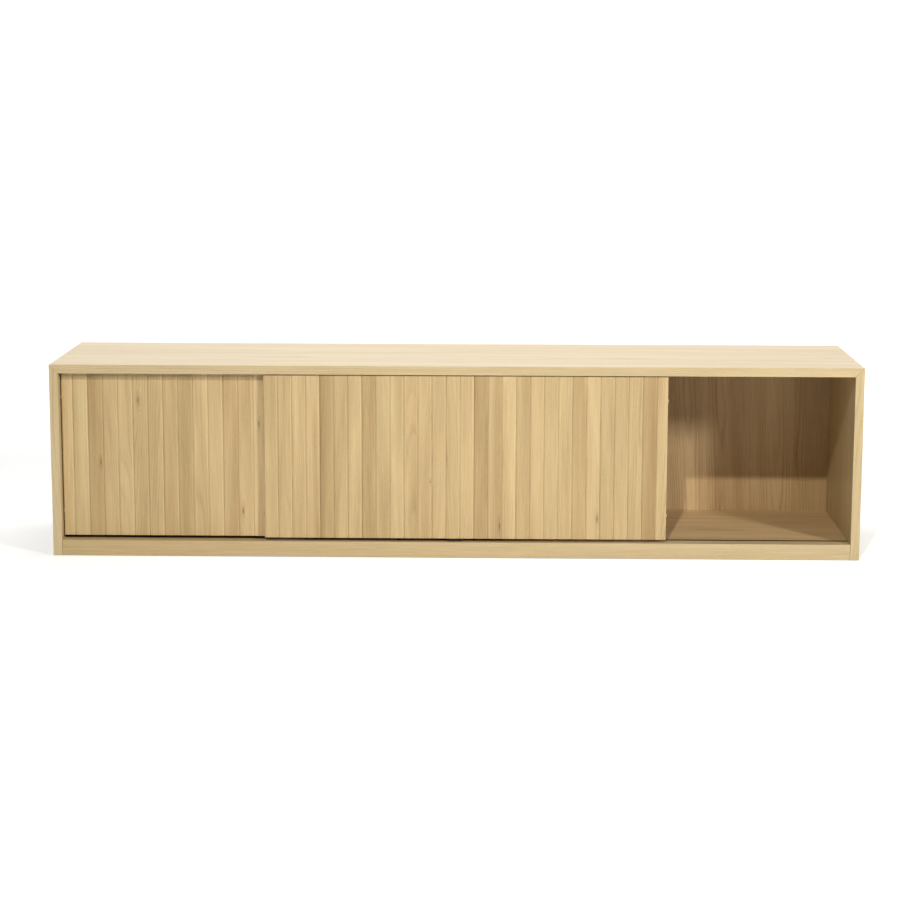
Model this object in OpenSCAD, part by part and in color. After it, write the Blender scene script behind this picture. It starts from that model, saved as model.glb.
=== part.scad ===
// Low media cabinet: a mitred oak case on a front rail, with two slatted sliding doors
// that pass each other. Millimetres, +Z up, front towards -Y, origin at the bottom centre.

/* [Case] */
// Overall width
case_w = 2000; // [1600:10:2400]
// Overall depth, front to back
case_d = 450; // [370:5:560]
// Overall height
case_h = 480; // [380:5:600]
// Thickness of the top and the sides
board_t = 22; // [20:1:28]
// Thickness of the centre partition
partition_t = 18; // [16:1:24]
// Thickness of the back panels
back_t = 8; // [5:1:12]
// How far the back panels sit in from the rear edge
back_inset = 6; // [4:1:12]
// How far the back panels reach into the top and the sides
back_lap = 10; // [8:1:12]

/* [Base] */
// Height of the floor panel and the front rail above the ground
floor_top = 40; // [38:1:60]
// Thickness of the floor panel
floor_t = 22; // [20:1:26]
// Air gap under the rails
rail_lift = 2; // [1:0.5:4]
// Thickness of the glides under the sides
glide_t = 1.5; // [1:0.5:3]

/* [Doors] */
// How far the front door's face sits behind the front of the case
door_setback = 6; // [2:1:16]
// Thickness of a door's backing board
door_board_t = 9; // [8:1:14]
// Thickness of the slats
slat_t = 6; // [4:1:10]
// Gap between the two doors
door_gap = 3; // [2:0.5:8]
// Gap between a closed door and the side
end_gap = 3; // [2:0.5:6]
// How far the closed doors overlap
door_overlap = 40; // [32:2:80]
// Gap between the floor panel and the doors
gap_below = 8.5; // [7:0.5:14]
// Gap between the doors and the top
gap_above = 2.5; // [1.5:0.5:5]
// How far the front door stands to the left of its closed place
front_open = 453; // [0:1:600]

/* [Slats] */
// Full slats on the front door
front_slats = 28; // [20:1:36]
// Full slats on the rear door
rear_slats = 26; // [20:1:36]
// Width of the narrow slat at the outer end of each door
end_slat_w = 27; // [16:1:32]
// Width of the chamfer along the slats' front edges
slat_chamfer = 3.2; // [1:0.2:4]
// Depth of the same chamfer
slat_chamfer_depth = 1.3; // [0.5:0.1:3]
// Gap between neighbouring slats
slat_gap = 0.2; // [0.1:0.1:1]

/* [Cable outlets] */
// Distance of each outlet from the middle of the case
outlet_x = 460; // [200:10:600]
// Height of the outlets above the ground
outlet_z = 200; // [110:5:280]
// Clear radius inside an outlet's ring
outlet_r = 29; // [20:1:34]

/* [Hidden] */

OAK = "burlywood";
OAK_VENEER = "tan";
BEECH = "wheat";
PLY = "peru";
ALUMINIUM = "silver";
BRONZE = "dimgray";
NYLON = "dimgray";
BUMPER = "tan";
BLACK = "black";
STEEL = "lightgray";

$fn = 32;
cut = 1; // how far a cutter runs past the face that it opens
hole_fit = 0.05; // extra radius of a dowel or screw hole
hole_spare = 0.5; // extra depth of a dowel or screw hole
panel_fit = 0.2; // clearance round a back panel in its rebate
slide_fit = 0.6; // clearance each side of a piece that slides in a channel

// The case
front_y = -case_d / 2;
inner_x = case_w / 2 - board_t;
inner_top = case_h - board_t;
floor_under = floor_top - floor_t;
back_y = case_d / 2 - back_inset - back_t;
lap_x = inner_x + back_lap;
lap_top = inner_top + back_lap;

// The doors
door_t = door_board_t + slat_t;
door_w = (2 * (inner_x - end_gap) + door_overlap) / 2;
door_bottom = floor_top + gap_below;
door_top = inner_top - gap_above;
door_h = door_top - door_bottom;
front_face = front_y + door_setback;
rear_face = front_face + door_t + door_gap;
front_x = inner_x - end_gap - door_w - front_open;
rear_x = -inner_x + end_gap;
front_board_mid = front_face + slat_t + door_board_t / 2;
rear_board_mid = rear_face + slat_t + door_board_t / 2;
rear_back = rear_face + door_t;

// The tracks over the doors and the channel behind the rear door's foot
wall = 1.2;
track_w = 12;
track_h = 10;
track_slot = 5;
track_fit = 0.1;
track_end_gap = 1;
channel_h = 9;
channel_y = rear_back + 1;
channel_mid = channel_y + track_w / 2;
track_screw_x = [for (i = [-2:2]) i * case_w * 0.225];

// The partition stands clear of the rear door's shoes
partition_y = channel_y + track_w + 4;

// Dowels, splines and screws
dowel_r = 4;
dowel_len = 30;
dowel_in_board = 12;
thin_dowel_r = 3;
spline_t = 4;
spline_w = 17;
spline_stop = 25;
spline_depth = 0.62; // place of the spline along the mitre, from the outer corner
floor_dowel_y = [for (i = [0:4]) front_y + case_d * (0.2 + 0.15 * i)];
rail_dowel_x = [for (i = [-5:2:5]) i * inner_x * 0.18];
rail_end_dowel_y = [front_y + 12, front_y + 28];
partition_len = back_y - partition_y;
partition_dowel_y = [for (i = [0:2]) partition_y + partition_len * (0.15 + 0.35 * i)];

// The pieces under the floor
under_y = [for (k = [0.275, 0.425, 0.725]) front_y + case_d * k];
foot_screw_x = 12;
rear_rail_t = 18;
rear_rail_y = back_y - 40;
rear_screw_x = [-0.7, -0.3, 0.3, 0.7] * inner_x;
cleat_w = 22;
foot_rail_w = 40;
underframe_y = channel_y + 14;
glide_r = 8;
glide_inset = 30;

// The back panels' screws: along the sides, the partition, the top and the floor panel
side_screw_z = [for (k = [0.12, 0.5, 0.9]) case_h * k];
partition_screw_z = [for (k = [0.2, 0.55, 0.85]) case_h * k];
top_screw_x = [for (k = [0.25, 0.5, 0.75]) inner_x * k];
floor_screw_x = [for (k = [0.25, 0.75]) inner_x * k];
back_screw_x = inner_x + back_lap / 2;
back_screw_top = inner_top + back_lap / 2;
partition_screw_x = partition_t / 4;
floor_mid = floor_top - floor_t / 2;
half_screws = concat(
  [for (z = side_screw_z) [back_screw_x, z]],
  [for (z = partition_screw_z) [partition_screw_x, z]],
  [for (x = top_screw_x) [x, back_screw_top]],
  [for (x = floor_screw_x) [x, floor_mid]]
);

// The parts that the doors carry
glider_inset = 60;
glider_len = 24;
head_h = 4;
stem_r = 2;
stem_depth = 15;
lift_fit = 0.3;
kerf_w = 4;
kerf_h = 9;
shoe_inset = 80;
shoe_len = 30;
shoe_plate = 3;
rear_shoe_x = [rear_x + shoe_inset, rear_x + door_w - shoe_inset];
shoe_screw_x = 9;
shoe_screw_z = door_bottom + 21;
bumper_r = 4;
bumper_t = end_gap - 0.4;
bumper_inset = 60;

// A block between two x, two y and two z values
module block(x, y, z) {
  translate([x[0], y[0], z[0]]) cube([x[1] - x[0], y[1] - y[0], z[1] - z[0]]);
}

// Round bars along each axis, starting at the given point
module bar_x(p, h, r) {
  translate(p) rotate([0, 90, 0]) cylinder(h = h, r = r);
}

module bar_y(p, h, r) {
  translate(p) rotate([-90, 0, 0]) cylinder(h = h, r = r);
}

module bar_z(p, h, r) {
  translate(p) cylinder(h = h, r = r);
}

// An outline in x and z, run along y
module run_y(y0, len, outline) {
  translate([0, y0 + len, 0]) rotate([90, 0, 0]) linear_extrude(len) polygon(outline);
}

// An outline in y and z, run along x
module run_x(x0, len, outline) {
  translate([x0, 0, 0]) rotate([90, 0, 90]) linear_extrude(len) polygon(outline);
}

// The rebate that the back panels drop into
module back_pocket() {
  block([-lap_x, lap_x], [back_y, case_d / 2 + cut], [floor_under, lap_top]);
}

// The tongue across the left mitre, grown by a clearance
module spline_shape(grow) {
  translate([-case_w / 2 + board_t * spline_depth, front_y + spline_stop - grow,
    case_h - board_t * spline_depth])
    rotate([0, -45, 0])
      translate([-spline_w / 2 - grow, 0, -spline_t / 2 - grow])
        cube([spline_w + 2 * grow, case_d - 2 * spline_stop + 2 * grow, spline_t + 2 * grow]);
}

// Dowels between the floor panel and the left side
module left_floor_dowels(grow, spare) {
  for (y = floor_dowel_y)
    bar_x([-inner_x - dowel_in_board - spare, y, floor_mid], dowel_len + 2 * spare, dowel_r + grow);
}

// Dowels between the front rail and the left side
module left_rail_dowels(grow, spare) {
  for (y = rail_end_dowel_y)
    bar_x([-inner_x - dowel_in_board - spare, y, (rail_lift + floor_top) / 2],
      dowel_len + 2 * spare, dowel_r + grow);
}

// Dowels between the front rail and the floor panel
module rail_dowel_set(grow, spare) {
  for (x = rail_dowel_x)
    bar_y([x, channel_y - dowel_len / 2 - spare, floor_under + 6], dowel_len + 2 * spare,
      thin_dowel_r + grow);
}

// Dowels at the foot and the head of the partition
module partition_dowel_set(grow, spare) {
  for (y = partition_dowel_y) {
    bar_z([0, y, floor_top - dowel_in_board - spare], dowel_len + 2 * spare, dowel_r + grow);
    bar_z([0, y, inner_top + dowel_in_board - dowel_len - spare], dowel_len + 2 * spare,
      dowel_r + grow);
  }
}

// Shanks of the back panels' screws in the right half
module half_back_shanks(grow) {
  for (p = half_screws)
    bar_y([p[0], back_y - 12 - 4 * grow, p[1]], back_t + 12 + 4 * grow, 1.75 + grow);
}

// Screws that hold the rear rail, the foot rail and the cleats up to the floor panel
module underframe_places() {
  for (x = rear_screw_x)
    translate([x, rear_rail_y + rear_rail_t / 2, rail_lift]) children();
  for (y = under_y, x = [-inner_x + cleat_w / 2, -foot_screw_x, foot_screw_x, inner_x - cleat_w / 2])
    translate([x, y, rail_lift]) children();
}

module underframe_holes() {
  underframe_places() {
    translate([0, 0, -cut]) cylinder(h = 4 + cut, r = 4.3);
    cylinder(h = floor_mid - rail_lift + hole_spare, r = 2 + hole_fit);
  }
}

// Screw places of a track at the given y
module track_screw_holes(y) {
  for (x = track_screw_x)
    bar_z([x, y, inner_top + track_h - wall - cut], 8 + cut, 1.5 + hole_fit);
}

// ---- The case ----

module side_board() {
  x0 = -case_w / 2;
  difference() {
    run_y(front_y, case_d, [[x0, glide_t], [x0 + board_t, glide_t],
      [x0 + board_t, inner_top], [x0, case_h]]);
    back_pocket();
    spline_shape(track_fit);
    left_floor_dowels(hole_fit, hole_spare);
    left_rail_dowels(hole_fit, hole_spare);
    mirror([1, 0, 0]) half_back_shanks(hole_fit);
  }
}

module side_left() {
  color(OAK) side_board();
}

module side_right() {
  color(OAK) mirror([1, 0, 0]) side_board();
}

module top_panel() {
  groove_x = inner_x - track_end_gap;
  color(OAK) difference() {
    run_y(front_y, case_d, [[-case_w / 2, case_h], [-inner_x, inner_top],
      [inner_x, inner_top], [case_w / 2, case_h]]);
    back_pocket();
    for (y = [front_board_mid, rear_board_mid]) {
      block([-groove_x, groove_x], [y - track_w / 2 - track_fit, y + track_w / 2 + track_fit],
        [inner_top - cut, inner_top + track_h + track_fit]);
      track_screw_holes(y);
    }
    partition_dowel_set(hole_fit, hole_spare);
    for (side = [0, 1])
      mirror([side, 0, 0]) {
        spline_shape(track_fit);
        half_back_shanks(hole_fit);
      }
  }
}

module floor_panel() {
  color(OAK_VENEER) difference() {
    block([-inner_x, inner_x], [channel_y, back_y], [floor_under, floor_top]);
    block([-inner_x - cut, inner_x + cut], [channel_y - cut, channel_y + track_w],
      [floor_top - channel_h, floor_top + cut]);
    for (x = track_screw_x)
      bar_z([x, channel_mid, floor_under + 4 - hole_spare], channel_h + floor_t, 1.25 + hole_fit);
    rail_dowel_set(hole_fit, hole_spare);
    partition_dowel_set(hole_fit, hole_spare);
    underframe_holes();
    for (side = [0, 1])
      mirror([side, 0, 0]) {
        left_floor_dowels(hole_fit, hole_spare);
        half_back_shanks(hole_fit);
      }
  }
}

module centre_partition() {
  color(OAK_VENEER) difference() {
    block([-partition_t / 2, partition_t / 2], [partition_y, back_y], [floor_top, inner_top]);
    partition_dowel_set(hole_fit, hole_spare);
    for (side = [0, 1])
      mirror([side, 0, 0]) half_back_shanks(hole_fit);
  }
}

// The right back panel; the left one is its mirror image
module back_half() {
  difference() {
    block([panel_fit, lap_x - panel_fit], [back_y, back_y + back_t],
      [floor_under + panel_fit, lap_top - panel_fit]);
    bar_y([outlet_x, back_y - cut, outlet_z], back_t + 2 * cut, outlet_r + 3);
    half_back_shanks(hole_fit);
  }
}

module back_panel_left() {
  color(OAK_VENEER) mirror([1, 0, 0]) back_half();
}

module back_panel_right() {
  color(OAK_VENEER) back_half();
}

// A ring with a flange on the room side of the panel
module cable_ring(x) {
  color(BLACK) difference() {
    union() {
      bar_y([x, back_y - 2, outlet_z], 2, outlet_r + 8);
      bar_y([x, back_y - 2, outlet_z], back_t + 2, outlet_r + 3 - panel_fit);
    }
    bar_y([x, back_y - 2 - cut, outlet_z], back_t + 2 + 2 * cut, outlet_r);
  }
}

module cable_ring_left() {
  cable_ring(-outlet_x);
}

module cable_ring_right() {
  cable_ring(outlet_x);
}

// ---- The base ----

module front_rail() {
  color(OAK) difference() {
    block([-inner_x, inner_x], [front_y, channel_y], [rail_lift, floor_top]);
    rail_dowel_set(hole_fit, hole_spare);
    for (side = [0, 1])
      mirror([side, 0, 0]) left_rail_dowels(hole_fit, hole_spare);
    for (x = [-10, 10])
      bar_z([x, front_board_mid + 6, floor_top - 12 - hole_spare], 14, 1.5 + hole_fit);
  }
}

module rear_rail() {
  color(BEECH) difference() {
    block([-inner_x, inner_x], [rear_rail_y, rear_rail_y + rear_rail_t], [rail_lift, floor_under]);
    underframe_holes();
  }
}

module centre_foot_rail() {
  color(BEECH) difference() {
    block([-foot_rail_w / 2, foot_rail_w / 2], [underframe_y, rear_rail_y], [rail_lift, floor_under]);
    underframe_holes();
  }
}

module floor_cleat() {
  color(BEECH) difference() {
    block([-inner_x, -inner_x + cleat_w], [underframe_y, rear_rail_y], [rail_lift, floor_under]);
    underframe_holes();
  }
}

module floor_cleat_left() {
  floor_cleat();
}

module floor_cleat_right() {
  mirror([1, 0, 0]) floor_cleat();
}

module glides() {
  color(NYLON) {
    for (x = [-1, 1] * (case_w - board_t) / 2, y = [-1, 1] * (case_d / 2 - glide_inset))
      bar_z([x, y, 0], glide_t, glide_r);
    for (y = [(front_y + channel_y) / 2, rear_rail_y + rear_rail_t / 2])
      bar_z([0, y, 0], rail_lift, glide_r);
  }
}

// ---- Joints and fasteners of the case ----

module mitre_spline_left() {
  color(PLY) spline_shape(0);
}

module mitre_spline_right() {
  color(PLY) mirror([1, 0, 0]) spline_shape(0);
}

module floor_dowels_left() {
  color(BEECH) left_floor_dowels(0, 0);
}

module floor_dowels_right() {
  color(BEECH) mirror([1, 0, 0]) left_floor_dowels(0, 0);
}

module rail_dowels() {
  color(BEECH) rail_dowel_set(0, 0);
}

module rail_end_dowels() {
  color(BEECH) for (side = [0, 1])
    mirror([side, 0, 0]) left_rail_dowels(0, 0);
}

module partition_dowels() {
  color(BEECH) partition_dowel_set(0, 0);
}

module back_screws() {
  color(STEEL) for (side = [0, 1])
    mirror([side, 0, 0]) {
      half_back_shanks(0);
      for (p = half_screws)
        bar_y([p[0], back_y + back_t, p[1]], 2.2, 3.5);
    }
}

module underframe_screws() {
  color(STEEL) underframe_places() {
    translate([0, 0, 2]) cylinder(h = 2, r = 4);
    translate([0, 0, 2]) cylinder(h = floor_mid - rail_lift - 2, r = 2);
  }
}

// ---- Tracks and guides ----

// A channel with an open slot along its underside
module top_track(y) {
  track_x = inner_x - track_end_gap - hole_spare;
  color(ALUMINIUM) difference() {
    block([-track_x, track_x], [y - track_w / 2, y + track_w / 2],
      [inner_top, inner_top + track_h]);
    block([-track_x - cut, track_x + cut], [y - track_w / 2 + wall, y + track_w / 2 - wall],
      [inner_top + wall, inner_top + track_h - wall]);
    block([-track_x - cut, track_x + cut], [y - track_slot / 2, y + track_slot / 2],
      [inner_top - cut, inner_top + track_h / 2]);
    track_screw_holes(y);
  }
}

module top_track_front() {
  top_track(front_board_mid);
}

module top_track_rear() {
  top_track(rear_board_mid);
}

module track_screws() {
  top = inner_top + track_h - wall;
  color(STEEL) for (x = track_screw_x, y = [front_board_mid, rear_board_mid]) {
    bar_z([x, y, top - 1.4], 1.4, 3);
    bar_z([x, y, top - 1.4], 8.4, 1.5);
  }
}

// The dark channel in the floor behind the rear door's foot
module lower_channel() {
  color(BRONZE) difference() {
    block([-inner_x, inner_x], [channel_y, channel_y + track_w],
      [floor_top - channel_h, floor_top]);
    block([-inner_x - cut, inner_x + cut], [channel_y + wall, channel_y + track_w - wall],
      [floor_top - channel_h + wall, floor_top + cut]);
    for (x = track_screw_x)
      bar_z([x, channel_mid, floor_under], channel_h + floor_t, 1.25 + hole_fit);
  }
}

module channel_screws() {
  seat = floor_top - channel_h + wall;
  color(STEEL) for (x = track_screw_x) {
    bar_z([x, channel_mid, seat], 1.2, 2.5);
    bar_z([x, channel_mid, floor_under + 4], seat - floor_under - 3, 1.25);
  }
}

// The fin that runs in the kerf of the front door's foot, always covered by both doors
module centre_guide() {
  guide_x = door_overlap / 2 - 4;
  fin_t = kerf_w - 1;
  color(NYLON) difference() {
    union() {
      block([-guide_x, guide_x], [front_board_mid - 6, front_board_mid + 11],
        [floor_top, floor_top + 2.5]);
      block([-guide_x, guide_x], [front_board_mid - fin_t / 2, front_board_mid + fin_t / 2],
        [floor_top, door_bottom + kerf_h * 0.65]);
    }
    for (x = [-10, 10])
      bar_z([x, front_board_mid + 6, floor_top - cut], 8, 1.5 + hole_fit);
  }
}

module guide_screws() {
  color(STEEL) for (x = [-10, 10]) {
    bar_z([x, front_board_mid + 6, floor_top + 2.5], 1.5, 2.8);
    bar_z([x, front_board_mid + 6, floor_top - 12], 15, 1.5);
  }
}

// ---- Doors ----

// One slat with chamfered front edges
module slat(x, w, y) {
  x0 = x + slat_gap / 2;
  x1 = x + w - slat_gap / 2;
  translate([0, 0, door_bottom]) linear_extrude(door_h)
    polygon([[x0, y + slat_t], [x0, y + slat_chamfer_depth], [x0 + slat_chamfer, y],
      [x1 - slat_chamfer, y], [x1, y + slat_chamfer_depth], [x1, y + slat_t]]);
}

module front_door_slats() {
  pitch = (door_w - end_slat_w) / front_slats;
  color(OAK) {
    for (i = [0 : front_slats - 1])
      slat(front_x + i * pitch, pitch, front_face);
    slat(front_x + door_w - end_slat_w, end_slat_w, front_face);
  }
}

module rear_door_slats() {
  pitch = (door_w - end_slat_w) / rear_slats;
  color(OAK) {
    slat(rear_x, end_slat_w, rear_face);
    for (i = [0 : rear_slats - 1])
      slat(rear_x + end_slat_w + i * pitch, pitch, rear_face);
  }
}

// The backing board with sockets for the gliders' stems
module door_board(x, y) {
  difference() {
    block([x, x + door_w], [y + slat_t, y + door_t], [door_bottom, door_top]);
    for (gx = [x + glider_inset, x + door_w - glider_inset])
      bar_z([gx, y + slat_t + door_board_t / 2, door_top - stem_depth - hole_spare],
        stem_depth + hole_spare + cut, stem_r + hole_fit);
  }
}

module front_door_board() {
  color(OAK_VENEER) difference() {
    door_board(front_x, front_face);
    block([front_x - cut, front_x + door_w + cut],
      [front_board_mid - kerf_w / 2, front_board_mid + kerf_w / 2],
      [door_bottom - cut, door_bottom + kerf_h]);
  }
}

module rear_door_board() {
  color(OAK_VENEER) difference() {
    door_board(rear_x, rear_face);
    for (x = rear_shoe_x, dx = [-shoe_screw_x, shoe_screw_x])
      bar_y([x + dx, rear_back - 7 - hole_spare, shoe_screw_z], 7 + hole_spare + cut,
        1.5 + hole_fit);
  }
}

// A T-shaped glider: its head runs on the track's lips and its stem holds the door
module glider(x, y) {
  head_bottom = inner_top + wall + lift_fit;
  head_w = track_w - 2 * wall - slide_fit;
  color(NYLON) {
    block([x - glider_len / 2, x + glider_len / 2], [y - head_w / 2, y + head_w / 2],
      [head_bottom, head_bottom + head_h]);
    bar_z([x, y, door_top - stem_depth], head_bottom - door_top + stem_depth + 1, stem_r);
  }
}

module front_glider_left() {
  glider(front_x + glider_inset, front_board_mid);
}

module front_glider_right() {
  glider(front_x + door_w - glider_inset, front_board_mid);
}

module rear_glider_left() {
  glider(rear_x + glider_inset, rear_board_mid);
}

module rear_glider_right() {
  glider(rear_x + door_w - glider_inset, rear_board_mid);
}

// Soft discs on both ends of a door
module bumpers(x, y) {
  color(BUMPER) for (z = [door_bottom + bumper_inset, door_top - bumper_inset]) {
    bar_x([x - bumper_t, y + door_t / 2, z], bumper_t, bumper_r);
    bar_x([x + door_w, y + door_t / 2, z], bumper_t, bumper_r);
  }
}

module front_door_bumpers() {
  bumpers(front_x, front_face);
}

module rear_door_bumpers() {
  bumpers(rear_x, rear_face);
}

// A shoe on the back of the rear door, with a foot in the lower channel
module shoe(x) {
  foot_y0 = channel_y + wall + slide_fit;
  foot_y1 = channel_y + track_w - wall - slide_fit;
  foot_bottom = floor_top - channel_h + wall + 2;
  color(NYLON) difference() {
    run_x(x - shoe_len / 2, shoe_len, [
      [rear_back, door_bottom + 2], [foot_y0, door_bottom + 2], [foot_y0, foot_bottom],
      [foot_y1, foot_bottom], [foot_y1, door_bottom + 6],
      [rear_back + shoe_plate, door_bottom + 12], [rear_back + shoe_plate, door_bottom + 30],
      [rear_back, door_bottom + 30]]);
    for (dx = [-shoe_screw_x, shoe_screw_x])
      bar_y([x + dx, rear_back - cut, shoe_screw_z], shoe_plate + 2 * cut, 1.5 + hole_fit);
  }
}

module rear_shoe_left() {
  shoe(rear_shoe_x[0]);
}

module rear_shoe_right() {
  shoe(rear_shoe_x[1]);
}

module shoe_screws() {
  color(STEEL) for (x = rear_shoe_x, dx = [-shoe_screw_x, shoe_screw_x]) {
    bar_y([x + dx, rear_back + shoe_plate, shoe_screw_z], 1.6, 3);
    bar_y([x + dx, rear_back - 7, shoe_screw_z], shoe_plate + 8, 1.5);
  }
}

top_panel();
side_left();
side_right();
floor_panel();
centre_partition();
back_panel_left();
back_panel_right();
front_rail();
rear_rail();
centre_foot_rail();
floor_cleat_left();
floor_cleat_right();
mitre_spline_left();
mitre_spline_right();
floor_dowels_left();
floor_dowels_right();
rail_dowels();
rail_end_dowels();
partition_dowels();
top_track_front();
top_track_rear();
track_screws();
lower_channel();
channel_screws();
centre_guide();
guide_screws();
cable_ring_left();
cable_ring_right();
back_screws();
underframe_screws();
glides();
front_door_board();
front_door_slats();
front_glider_left();
front_glider_right();
front_door_bumpers();
rear_door_board();
rear_door_slats();
rear_glider_left();
rear_glider_right();
rear_door_bumpers();
rear_shoe_left();
rear_shoe_right();
shoe_screws();
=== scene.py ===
"""Looks of a low oak media cabinet with two slatted sliding doors.

Metres, +Z up, front towards -Y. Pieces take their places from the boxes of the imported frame.
Every oak piece carries the place it had in its log, so its grain runs right through it.
"""

import math
import random

import bmesh
import bpy
from mathutils import Matrix, Vector


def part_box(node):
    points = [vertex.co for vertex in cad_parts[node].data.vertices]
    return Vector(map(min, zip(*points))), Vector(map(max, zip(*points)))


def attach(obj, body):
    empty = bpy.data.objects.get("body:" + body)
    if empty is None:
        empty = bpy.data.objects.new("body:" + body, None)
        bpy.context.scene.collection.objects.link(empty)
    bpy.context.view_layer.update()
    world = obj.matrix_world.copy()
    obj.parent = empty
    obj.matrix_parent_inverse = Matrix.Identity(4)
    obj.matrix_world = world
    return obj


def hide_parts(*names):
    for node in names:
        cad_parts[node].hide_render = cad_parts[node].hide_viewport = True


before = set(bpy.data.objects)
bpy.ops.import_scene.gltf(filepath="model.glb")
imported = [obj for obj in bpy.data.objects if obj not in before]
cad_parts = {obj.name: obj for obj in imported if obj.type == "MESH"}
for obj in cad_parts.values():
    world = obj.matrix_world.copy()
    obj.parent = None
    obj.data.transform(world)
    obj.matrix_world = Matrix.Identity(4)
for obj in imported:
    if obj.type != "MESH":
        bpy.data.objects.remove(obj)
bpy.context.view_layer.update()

MM = 0.001
SAME = 1e-6  # points nearer than this are one
LETTERS = "XYZ"
SEED = 20
chance = random.Random(SEED)

# ---- Shapes ----


def point_at(axis, along, u, v):
    """The point at `along` on one axis, with u and v on the two others in order."""
    point = [u, v]
    point.insert(LETTERS.index(axis), along)
    return Vector(point)


def prism(outline, axis, start, end):
    """An outline, given in the two other axes in order, run along one axis."""
    bm = bmesh.new()
    first, last = (
        [bm.verts.new(point_at(axis, along, u, v)) for u, v in outline] for along in (start, end)
    )
    bm.faces.new(first)
    bm.faces.new(last)
    for i in range(len(outline)):
        bm.faces.new((first[i - 1], first[i], last[i], last[i - 1]))
    bmesh.ops.recalc_face_normals(bm, faces=bm.faces)
    return bm


def block(low, high):
    """A board with square edges between two corners."""
    outline = [(low[0], low[1]), (high[0], low[1]), (high[0], high[1]), (low[0], high[1])]
    return prism(outline, "Z", low[2], high[2])


def disc(centre, axis, radius, start, end, sides=64):
    """A round bar, used as a drill."""
    u, v = [centre[i] for i in range(3) if LETTERS[i] != axis]
    turns = [2 * math.pi * k / sides for k in range(sides)]
    outline = [(u + radius * math.cos(t), v + radius * math.sin(t)) for t in turns]
    return prism(outline, axis, start, end)


def turned(profile, sides=40, ring=False):
    """(radius, height) points turned about Z. A ring's last point joins its first."""
    bm = bmesh.new()
    rows = []
    for radius, height in profile:
        if radius == 0:
            rows.append([bm.verts.new((0, 0, height))] * sides)
            continue
        turns = [2 * math.pi * k / sides for k in range(sides)]
        rows.append([bm.verts.new((radius * math.cos(t), radius * math.sin(t), height)) for t in turns])
    pairs = list(zip(rows, rows[1:]))
    if ring:
        pairs.append((rows[-1], rows[0]))
    for low, high in pairs:
        for k in range(sides):
            bm.faces.new(dict.fromkeys((low[k - 1], low[k], high[k], high[k - 1])))
    bmesh.ops.recalc_face_normals(bm, faces=bm.faces)
    return bm


def solid(bm, name):
    """Makes a piece from a mesh in the making."""
    mesh = bpy.data.meshes.new(name)
    bm.to_mesh(mesh)
    bm.free()
    piece = bpy.data.objects.new(name, mesh)
    bpy.context.scene.collection.objects.link(piece)
    return piece


def several(shapes, name):
    """Joins shapes in the making into one piece."""
    joined = bmesh.new()
    for bm in shapes:
        mesh = bpy.data.meshes.new("shape")
        bm.to_mesh(mesh)
        bm.free()
        joined.from_mesh(mesh)
        bpy.data.meshes.remove(mesh)
    return solid(joined, name)


def settle(piece):
    """Turns a piece's modifiers into its own mesh."""
    view = bpy.context.evaluated_depsgraph_get()
    settled = bpy.data.meshes.new_from_object(piece.evaluated_get(view))
    rough = piece.data
    piece.modifiers.clear()
    piece.data = settled
    bpy.data.meshes.remove(rough)
    settled.name = piece.name


def cut(piece, *shapes):
    """Takes shapes in the making out of a piece."""
    cutters = [solid(bm, "cutter") for bm in shapes]
    for cutter in cutters:
        away = piece.modifiers.new("cut", "BOOLEAN")
        away.object = cutter
        away.operation = "DIFFERENCE"
        away.solver = "EXACT"
    settle(piece)
    for cutter in cutters:
        bpy.data.objects.remove(cutter)


def ease(piece, width, segments=2, sharpest=25):
    """Rounds a piece's edges, as a sander or a mould does."""
    bevel = piece.modifiers.new("ease", "BEVEL")
    bevel.width = width
    bevel.segments = segments
    bevel.limit_method = "ANGLE"
    bevel.angle_limit = math.radians(sharpest)
    bevel.use_clamp_overlap = True
    bevel.harden_normals = True
    piece.data.shade_smooth()
    settle(piece)


def split_at(bm, axis, places):
    """Cuts a mesh's faces along planes, so that each veneer leaf has faces of its own."""
    normal = Vector([float(letter == axis) for letter in LETTERS])
    for place in places:
        everything = [*bm.verts, *bm.edges, *bm.faces]
        bmesh.ops.bisect_plane(bm, geom=everything, dist=SAME, plane_co=normal * place, plane_no=normal)


def solids(node):
    """Lowest and highest corner of each separate solid in a CAD node, from left to right."""
    bm = bmesh.new()
    bm.from_mesh(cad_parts[node].data)
    bmesh.ops.remove_doubles(bm, verts=bm.verts, dist=SAME)
    left = set(bm.verts)
    boxes = []
    while left:
        found = [left.pop()]
        for vert in found:
            for edge in vert.link_edges:
                other = edge.other_vert(vert)
                if other in left:
                    left.remove(other)
                    found.append(other)
        corners = [[pick(v.co[i] for v in found) for i in range(3)] for pick in (min, max)]
        boxes.append((Vector(corners[0]), Vector(corners[1])))
    bm.free()
    return sorted(boxes, key=lambda box: [round(n, 4) for n in box[0]])


def finished(piece, body, slot, finish, *nodes):
    """Gives a piece its body, its finish and the CAD nodes it stands for. The slot argument is not
    used.
    """
    piece.data.materials.clear()
    piece.data.materials.append(finish)
    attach(piece, body)
    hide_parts(*nodes)


# ---- Grain ----

EASED_W = 0.0012  # faces narrower than this were rounded over
LOG_LENGTH = 40  # metres of trunk that the boards were cut from
LEAF_SHIFT = 0.04  # how far a leaf may lie to either side of its place in the log
LEAF_JUMP = 9  # how far along the trunk it may have been cut
LEAF_TONE = 0.4  # how much paler or darker than the others it may be


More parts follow.
